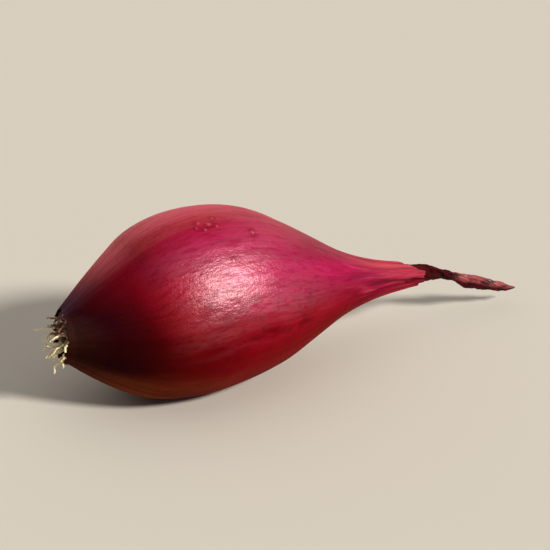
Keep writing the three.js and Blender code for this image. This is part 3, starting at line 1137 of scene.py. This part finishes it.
def root_mesh(name, number, settings):
    """One dried root: a wrinkled strand that kinks and hooks over, broken off at its tip."""
    dice = np.random.default_rng(ROOT_SEED + number)
    line = root_line(name, dice, settings)
    portions = np.linspace(0, 1, len(line))[:, None]
    radius = dice.uniform(*ROOT_RADIUS) * (1.1 - 0.5 * portions)
    radius = radius + FOOT_SWELLING * fade(portions, 0.12, 0)
    flat = dice.uniform(*ROOT_FLATNESS)
    turns = np.arange(ROOT_SIDES) / ROOT_SIDES * 2 * math.pi
    wrinkle = 1 + 0.16 * np.cos(3 * turns + 9 * portions + dice.uniform(0, 6))
    wrinkle = wrinkle * (1 + 0.12 * np.cos(31 * portions + dice.uniform(0, 6)))
    level = (radius * np.cos(turns) * wrinkle)[..., None]
    upright = (radius * np.sin(turns) * wrinkle * flat)[..., None]
    across, above = cross_directions(line)
    mesh = skinned(name, line[:, None] + across[:, None] * level + above[:, None] * upright)
    tone = dice.uniform(0, 1) + RAISED_BROWNER * raised_share(line[0])
    store(mesh, "tone", np.full(len(line) * ROOT_SIDES, tone))
    store(mesh, "reach", np.repeat(portions, ROOT_SIDES))
    return mesh


def root_material(settings):
    """Dry straw or brown, with darker feet and brown wrinkles."""
    n = Nodes("dried_root")
    tone = n.read("tone")
    reach = n.read("reach")
    spots = n.add("ShaderNodeTexCoord").outputs["Object"]
    mottle = n.noise(spots, 1400, 3.0, 0.6)
    base = n.mix(n.span(tone, 0.78, 0.92), settings.straw_colour, settings.brown_colour)
    base = n.mix(n.span(mottle, 0.52, 0.75, 0, 0.5), base, settings.brown_colour)
    base = n.mix(n.span(reach, 0.28, 0.0, 0, 0.8), base, settings.plate_dark_colour)
    n.feed(n.shader.inputs["Base Color"], base)
    n.shader.inputs["Roughness"].default_value = 0.7
    n.bump(mottle, 0.08 * MM)
    return n.material


class ONION_OT_roots(bpy.types.Operator):
    """Models every dried root"""

    bl_idname = "onion.roots"
    bl_label = "Dried roots"

    def execute(self, context):
        settings = context.scene.onion_roots
        material = root_material(settings)
        for number, name in enumerate(ROOTS):
            mesh = root_mesh(name, number, settings)
            finish_piece(f"onion_{name}", mesh, material, [name])
        return {"FINISHED"}


# ---------------------------------------------------------------------------- the tail

# How finely the tail is meshed
TAIL_SIDES = 96
TAIL_SPACING = 0.1 * MM

# In millimetres: the neck grips the tail smooth up to the first distance along it, it is fully crumpled
# past the second, and it grows smooth again over the third at its tip
TAIL_GRIPPED = 5
TAIL_CRUMPLED = 10
TAIL_TIP = 3

# The crumples: how fine they are round the tail and along it, where in the noise, and how deep
TAIL_CRUMPLES = ((0.9, 0.45, 0, 1.0), (2.1, 1.1, 9, 0.5))


def tail_line(outline):
    """The tail's middle line, evenly spaced: along the inside of the neck, then out of the mouth."""
    stations = np.linspace(TAIL_START, outline.length, 5)
    x, z, _, _, _ = outline.at(stations)
    inside = np.stack([x, np.zeros(len(x)), z], axis=-1)
    outside = centre_line(TAIL, 20)
    outside = outside[outside[:, 0] > inside[-1, 0] + 0.8 * MM]
    line = np.concatenate([inside, outside])
    reached = np.linalg.norm(np.diff(line, axis=0), axis=1).sum()
    return spread_along(line, int(reached / TAIL_SPACING))


def crumple_height(turn, distance):
    """How far the crumpled leaf stands off its smooth shape, at a turn round it and a distance along it."""
    height = 0.0
    for around, along, start, depth in TAIL_CRUMPLES:
        spot = Vector((math.cos(turn) * around, math.sin(turn) * around, distance * along + start))
        height += depth * noise.noise(spot)
    return height


def tail_mesh(settings, outline):
    """The dried tail: a crumpled, twisted bundle of leaf, pleated lengthwise."""
    line = tail_line(outline)
    runs = np.linalg.norm(np.diff(line, axis=0), axis=1)
    reached = np.concatenate([[0], np.cumsum(runs)]) / MM
    places, *columns = np.array(TAIL_PROFILE).T
    wide, thick, twist = (
        smoothed(np.interp(line[:, 0] / MM, places, column), 6)[:, None] for column in columns
    )
    turns = np.arange(TAIL_SIDES) / TAIL_SIDES * 2 * math.pi
    mm = reached[:, None]
    pleats = sum(
        depth * (np.abs(np.sin(count * turns / 2 + drift * mm + start)) - 0.6)
        for count, drift, start, depth in TAIL_PLEATS
    )
    crumples = np.array([[crumple_height(turn, distance) for turn in turns] for distance in reached])
    creases = crumples + pleats
    free = fade(mm, TAIL_GRIPPED, TAIL_CRUMPLED) * fade(mm, reached[-1], reached[-1] - TAIL_TIP)
    out = settings.crumple / MM * creases * free
    u = (wide + out) * np.cos(turns)
    v = (thick + out) * np.sin(turns) + settings.curl / MM * (np.cos(turns) ** 2 - 0.5) * free
    bend = np.radians(twist)
    level = (u * np.cos(bend) - v * np.sin(bend))[..., None] * MM
    upright = (u * np.sin(bend) + v * np.cos(bend))[..., None] * MM
    across, above = cross_directions(line)
    mesh = skinned("dried_leaf_tail", line[:, None] + across[:, None] * level + above[:, None] * upright)
    store(mesh, "reach", np.repeat(reached / reached[-1], TAIL_SIDES))
    store(mesh, "hollow", -creases.ravel())
    store(mesh, "topside", (upright[..., 0] / np.abs(upright).max(axis=1)).ravel())
    return mesh


def tail_material(settings):
    """Black-maroon dry leaf that turns pinkish brown towards its tip, on its top only as painted light from
    above, with painted shade in its folds.
    """
    n = Nodes("dried_leaf")
    reach = n.read("reach")
    hollow = n.read("hollow")
    topside = n.read("topside")
    spots = n.add("ShaderNodeTexCoord").outputs["Object"]
    streaks = n.noise(n.scaled(spots, (260, 1500, 1500)), 1.0, 3.0, 0.6)
    patches = n.noise(n.scaled(spots, (300, 500, 500)), 1.0, 2.0, 0.5)
    towards_tip = n.plus(reach, n.times(n.less(patches, 0.5), 0.12))
    # Painted light: the pale colour goes only on the tail's top, as if lit from above
    pale = n.times(n.span(towards_tip, 0.475, 0.57), n.span(topside, -0.2, 0.55))
    base = n.mix(pale, settings.dark_colour, settings.light_colour)
    base = n.mix(n.span(streaks, 0.46, 0.64, 0, 0.85), base, n.mix(0.7, base, settings.dark_colour))
    # Painted shade in the tail's folds
    base = n.mix(n.span(hollow, -0.2, 0.6, 0, 0.9), base, settings.fold_shade_colour)
    n.feed(n.shader.inputs["Base Color"], base)
    n.shader.inputs["Roughness"].default_value = 0.6
    n.shader.inputs["Specular IOR Level"].default_value = 0.06
    n.feed(n.shader.inputs["Coat Weight"], n.times(pale, settings.gloss))
    n.shader.inputs["Coat Roughness"].default_value = 0.36
    n.bump(streaks, 0.12 * MM)
    return n.material


class ONION_OT_tail(bpy.types.Operator):
    """Models the dried leaf tail"""

    bl_idname = "onion.tail"
    bl_label = "Dried leaf tail"

    def execute(self, context):
        settings = context.scene.onion_tail
        mesh = tail_mesh(settings, BulbOutline())
        finish_piece("onion_dried_leaf_tail", mesh, tail_material(settings), [TAIL])
        return {"FINISHED"}


# --------------------------------------------------------------------------- the stage

# Half the width of the floor, in metres
FLOOR_HALF_WIDTH = 6.0

KEY_COLOUR = (1.0, 0.97, 0.92)
FILL_COLOUR = (1.0, 0.95, 0.88)
SKY_COLOUR = (0.93, 0.96, 1.0)
BACKGROUND_COLOUR = (1.0, 1.0, 1.0)

# The middle of the bulb's widest ring, as shares of the way across the bulb's box
BELLY = Vector((0.3636, 0.5, 0.4744))

SENSOR_WIDTH_MM = 36


def towards(azimuth, elevation):
    """The direction from the onion to a place turned from the front and raised."""
    level = math.cos(elevation)
    return Vector((math.sin(azimuth) * level, -math.cos(azimuth) * level, math.sin(elevation)))


def aim(thing, direction):
    """Turns a lamp or camera so that it looks back along a direction."""
    thing.rotation_euler = direction.to_track_quat("Z", "Y").to_euler()


def add_floor(stage):
    """A wide plain floor just under the onion."""
    half = FLOOR_HALF_WIDTH
    corners = [(-half, -half, 0), (half, -half, 0), (half, half, 0), (-half, half, 0)]
    mesh = bpy.data.meshes.new("floor")
    mesh.from_pydata(corners, [], [(0, 1, 2, 3)])
    n = Nodes("plain_floor")
    n.feed(n.shader.inputs["Base Color"], (*stage.floor_colour, 1))
    n.shader.inputs["Roughness"].default_value = 0.9
    n.shader.inputs["Specular IOR Level"].default_value = 0.1
    mesh.materials.append(n.material)
    floor = bpy.data.objects.new("floor", mesh)
    bpy.context.scene.collection.objects.link(floor)


def add_lamp(name, strength, spread, tint, direction):
    """A distant lamp that shines on the onion from a direction."""
    lamp = bpy.data.lights.new(name, "SUN")
    lamp.energy = strength
    lamp.angle = spread
    lamp.color = tint
    placed = bpy.data.objects.new(name, lamp)
    bpy.context.scene.collection.objects.link(placed)
    aim(placed, direction)


def add_lights(stage):
    """A broad soft light from the front right, and a weak, very soft one from above and behind."""
    key_from = towards(stage.key_azimuth, stage.key_elevation)
    add_lamp("key_light", stage.key_strength, stage.key_spread, KEY_COLOUR, key_from)
    fill_from = towards(stage.fill_azimuth, stage.fill_elevation)
    add_lamp("fill_light", stage.fill_strength, stage.fill_spread, FILL_COLOUR, fill_from)


def add_sky(stage):
    """An even pale sky, which the camera sees as a plain white background."""
    world = bpy.data.worlds.new("studio_sky")
    world.use_nodes = True
    nodes, links = world.node_tree.nodes, world.node_tree.links
    nodes.clear()
    output = nodes.new("ShaderNodeOutputWorld")
    choose = nodes.new("ShaderNodeMixShader")
    light = nodes.new("ShaderNodeBackground")
    seen = nodes.new("ShaderNodeBackground")
    path = nodes.new("ShaderNodeLightPath")
    light.inputs["Color"].default_value = (*SKY_COLOUR, 1)
    light.inputs["Strength"].default_value = stage.sky_strength
    seen.inputs["Color"].default_value = (*BACKGROUND_COLOUR, 1)
    seen.inputs["Strength"].default_value = 1.0
    links.new(path.outputs["Is Camera Ray"], choose.inputs[0])
    links.new(light.outputs[0], choose.inputs[1])
    links.new(seen.outputs[0], choose.inputs[2])
    links.new(choose.outputs[0], output.inputs["Surface"])
    bpy.context.scene.world = world


def add_camera(stage):
    """A long lens that looks down on the onion from its root end."""
    direction = towards(stage.azimuth, stage.elevation)
    right = Vector((math.cos(stage.azimuth), math.sin(stage.azimuth), 0))
    low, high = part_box(BULB)
    belly = low + (high - low) * BELLY
    lens = bpy.data.cameras.new("camera")
    lens.sensor_width = SENSOR_WIDTH_MM
    lens.lens = lens.sensor_width * stage.distance / stage.view_width
    lens.clip_start = 0.01
    lens.clip_end = 50
    camera = bpy.data.objects.new("camera", lens)
    bpy.context.scene.collection.objects.link(camera)
    camera.location = belly + direction * stage.distance
    aimed_at = belly + right * stage.aim_right + direction.cross(right) * stage.aim_up
    aim(camera, camera.location - aimed_at)
    bpy.context.scene.camera = camera


class ONION_OT_stage(bpy.types.Operator):
    """Adds the floor, the lights and the camera"""

    bl_idname = "onion.stage"
    bl_label = "Stage"

    def execute(self, context):
        stage = context.scene.onion_stage
        add_floor(stage)
        add_lights(stage)
        add_sky(stage)
        add_camera(stage)
        context.scene.view_settings.view_transform = "Standard"
        return {"FINISHED"}


# ------------------------------------------------------------------- panel and registry

OPERATORS = (ONION_OT_bulb, ONION_OT_root_plate, ONION_OT_roots, ONION_OT_tail, ONION_OT_stage)

SETTINGS = {
    "onion_skin": OnionSkinSettings,
    "onion_tail": OnionTailSettings,
    "onion_roots": OnionRootSettings,
    "onion_stage": OnionStageSettings,
}


class ONION_PT_panel(bpy.types.Panel):
    """Lists the onion's pieces and their settings"""

    bl_label = "Red Onion"
    bl_idname = "ONION_PT_panel"
    bl_space_type = "VIEW_3D"
    bl_region_type = "UI"
    bl_category = "Onion"

    def draw(self, context):
        for operator in OPERATORS:
            self.layout.operator(operator.bl_idname)
        for name, group in SETTINGS.items():
            box = self.layout.box()
            box.label(text=group.__doc__)
            for prop in group.__annotations__:
                box.prop(getattr(context.scene, name), prop)


def register():
    for group in SETTINGS.values():
        bpy.utils.register_class(group)
    for name, group in SETTINGS.items():
        setattr(bpy.types.Scene, name, PointerProperty(type=group))
    for operator in OPERATORS:
        bpy.utils.register_class(operator)
    bpy.utils.register_class(ONION_PT_panel)


def unregister():
    bpy.utils.unregister_class(ONION_PT_panel)
    for operator in reversed(OPERATORS):
        bpy.utils.unregister_class(operator)
    for name, group in SETTINGS.items():
        delattr(bpy.types.Scene, name)
        bpy.utils.unregister_class(group)


def main():
    register()
    bpy.ops.onion.bulb()
    bpy.ops.onion.root_plate()
    bpy.ops.onion.roots()
    bpy.ops.onion.tail()
    bpy.ops.onion.stage()


if __name__ == "__main__":
    main()
